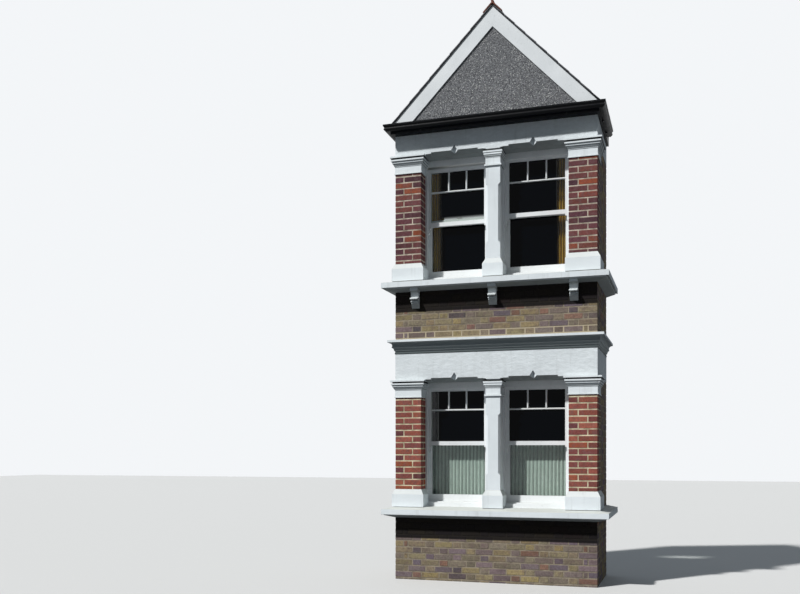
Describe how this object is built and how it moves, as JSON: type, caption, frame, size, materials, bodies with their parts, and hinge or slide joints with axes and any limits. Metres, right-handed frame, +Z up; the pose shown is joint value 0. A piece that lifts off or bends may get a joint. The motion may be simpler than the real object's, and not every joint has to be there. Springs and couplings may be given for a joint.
{
  "type": "bay window",
  "caption": "Two-storey square bay window with red brick piers, white mouldings, timber sash windows and a pebbledashed gable under a slate roof.",
  "frame": {"origin": "middle of the box of the whole bay, on the ground", "axes": "+X to the right along the front, +Y from the front into the house, +Z up"},
  "size_m": [2.72, 1.323, 6.9196],
  "materials": {
    "stock_brick": "rough yellow stock brickwork with pale mortar",
    "red_brick": "rough dark red brickwork with pale mortar",
    "white_render": "white masonry paint on render and stone",
    "white_timber": "white gloss paint on softwood",
    "black_board": "black gloss paint on softwood",
    "black_iron": "black painted cast iron",
    "pebbledash": "grey pebbledash on brick",
    "slate": "natural slates on battens",
    "terracotta": "weathered red clay",
    "bare_timber": "sawn softwood",
    "floorboards": "waxed pine boards over joists and plaster",
    "plaster": "painted plaster on laths and joists",
    "glass": "clear window glass",
    "rail_metal": "pale painted metal",
    "mustard_cloth": "mustard yellow woven cotton",
    "net_cloth": "white pleated net",
    "grey_cloth": "grey woven cotton"
  },
  "bodies": {
    "root": {"dado_wall": "stock_brick", "lower_left_return": "stock_brick", "lower_right_return": "stock_brick", "lower_sill": "white_render", "lower_bases": "white_render", "lower_left_pier": "red_brick", "lower_right_pier": "red_brick", "lower_mullion": "white_render", "lower_capitals": "white_render", "lower_frieze": "white_render", "cornice": "white_render", "spandrel_wall": "stock_brick", "upper_left_return": "stock_brick", "upper_right_return": "stock_brick", "upper_sill": "white_render", "sill_corbels": "white_render", "upper_bases": "white_render", "upper_left_pier": "red_brick", "upper_right_pier": "red_brick", "upper_mullion": "white_render", "upper_capitals": "white_render", "upper_frieze": "white_render", "eaves_board": "black_board", "gutter": "black_iron", "gutter_brackets": "black_iron", "gable_panel": "pebbledash", "left_bargeboard": "white_timber", "right_bargeboard": "white_timber", "left_roof_slope": "slate", "right_roof_slope": "slate", "ridge_tiles": "terracotta", "rafters": "bare_timber", "ground_floor": "floorboards", "first_floor": "floorboards", "upper_ceiling": "plaster", "lower_frames": "white_timber", "upper_frames": "white_timber", "lower_sashes": "white_timber", "upper_sashes": "white_timber", "lower_glass": "glass", "upper_glass": "glass", "curtain_rails": "rail_metal", "upper_curtains": "mustard_cloth", "net_curtains": "net_cloth", "side_curtain": "grey_cloth"}
  },
  "joints": []
}
